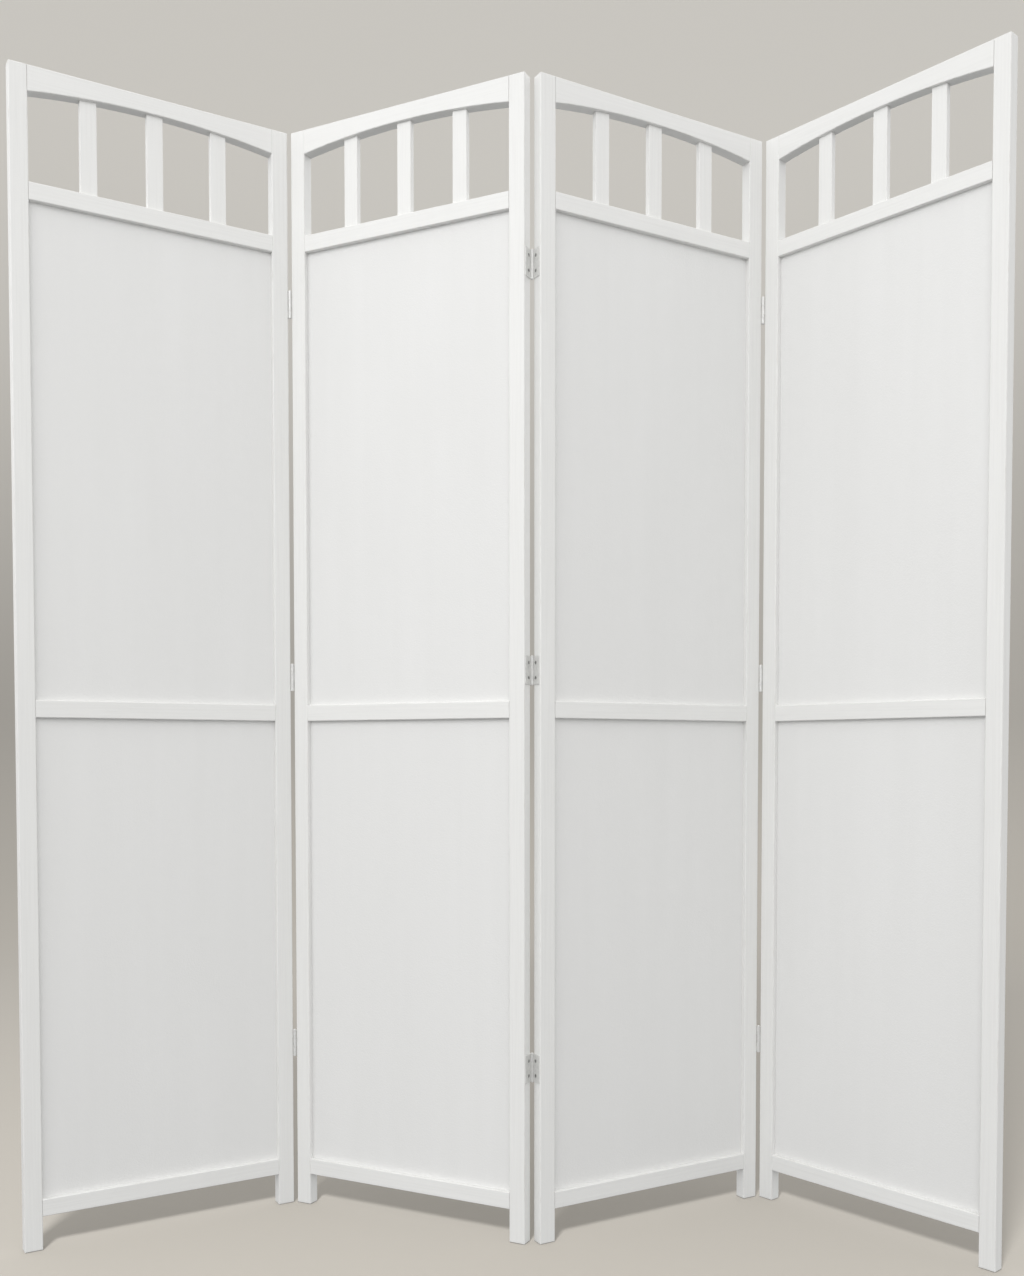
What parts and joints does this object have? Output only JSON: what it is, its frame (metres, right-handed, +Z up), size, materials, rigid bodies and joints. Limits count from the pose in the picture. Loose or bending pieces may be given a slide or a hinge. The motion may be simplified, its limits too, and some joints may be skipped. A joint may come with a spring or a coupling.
{
  "type": "folding room divider",
  "caption": "Folding room divider of framed panels with arched top rails, slatted windows and plain boards, joined by butt hinges so that it stands in a zigzag.",
  "frame": {"origin": "middle of the footprint's box, on the floor", "axes": "+Z up; the front of the screen faces -Y; +X runs along the screen from the first panel to the fourth"},
  "size_m": [1.406, 0.3208, 1.7],
  "materials": {
    "frame_paint": "white satin paint on wood",
    "board_paint": "white matt paint on thin board",
    "hinge_steel": "zinc-plated steel",
    "screw_steel": "zinc-plated steel"
  },
  "bodies": {
    "panel_1": {"panel_1_left_stile": "frame_paint", "panel_1_right_stile": "frame_paint", "panel_1_top_rail": "frame_paint", "panel_1_upper_rail": "frame_paint", "panel_1_middle_rail": "frame_paint", "panel_1_bottom_rail": "frame_paint", "panel_1_slat_1": "frame_paint", "panel_1_slat_2": "frame_paint", "panel_1_slat_3": "frame_paint", "panel_1_upper_board": "board_paint", "panel_1_lower_board": "board_paint", "hinge_12_left_leaves": "hinge_steel", "hinge_12_left_screws": "screw_steel", "hinge_12_pins": "hinge_steel"},
    "panel_2": {"panel_2_left_stile": "frame_paint", "panel_2_right_stile": "frame_paint", "panel_2_top_rail": "frame_paint", "panel_2_upper_rail": "frame_paint", "panel_2_middle_rail": "frame_paint", "panel_2_bottom_rail": "frame_paint", "panel_2_slat_1": "frame_paint", "panel_2_slat_2": "frame_paint", "panel_2_slat_3": "frame_paint", "panel_2_upper_board": "board_paint", "panel_2_lower_board": "board_paint", "hinge_12_right_leaves": "hinge_steel", "hinge_12_right_screws": "screw_steel", "hinge_23_left_leaves": "hinge_steel", "hinge_23_left_screws": "screw_steel", "hinge_23_pins": "hinge_steel"},
    "panel_3": {"panel_3_left_stile": "frame_paint", "panel_3_right_stile": "frame_paint", "panel_3_top_rail": "frame_paint", "panel_3_upper_rail": "frame_paint", "panel_3_middle_rail": "frame_paint", "panel_3_bottom_rail": "frame_paint", "panel_3_slat_1": "frame_paint", "panel_3_slat_2": "frame_paint", "panel_3_slat_3": "frame_paint", "panel_3_upper_board": "board_paint", "panel_3_lower_board": "board_paint", "hinge_23_right_leaves": "hinge_steel", "hinge_23_right_screws": "screw_steel", "hinge_34_left_leaves": "hinge_steel", "hinge_34_left_screws": "screw_steel", "hinge_34_pins": "hinge_steel"},
    "panel_4": {"panel_4_left_stile": "frame_paint", "panel_4_right_stile": "frame_paint", "panel_4_top_rail": "frame_paint", "panel_4_upper_rail": "frame_paint", "panel_4_middle_rail": "frame_paint", "panel_4_bottom_rail": "frame_paint", "panel_4_slat_1": "frame_paint", "panel_4_slat_2": "frame_paint", "panel_4_slat_3": "frame_paint", "panel_4_upper_board": "board_paint", "panel_4_lower_board": "board_paint", "hinge_34_right_leaves": "hinge_steel", "hinge_34_right_screws": "screw_steel"}
  },
  "joints": [
    {"name": "fold_12", "type": "hinge", "parent": "panel_2", "child": "panel_1", "pos_m": [-0.33961, 0.11817, 0.847], "axis": [0, 0, 1], "range_deg": [-57, 123]},
    {"name": "fold_23", "type": "hinge", "parent": "panel_2", "child": "panel_3", "pos_m": [0.04259, -0.04398, 0.847], "axis": [0, 0, 1], "range_deg": [-56, 124]},
    {"name": "fold_34", "type": "hinge", "parent": "panel_3", "child": "panel_4", "pos_m": [0.41254, 0.14444, 0.847], "axis": [0, 0, -1], "range_deg": [-78, 102]}
  ]
}
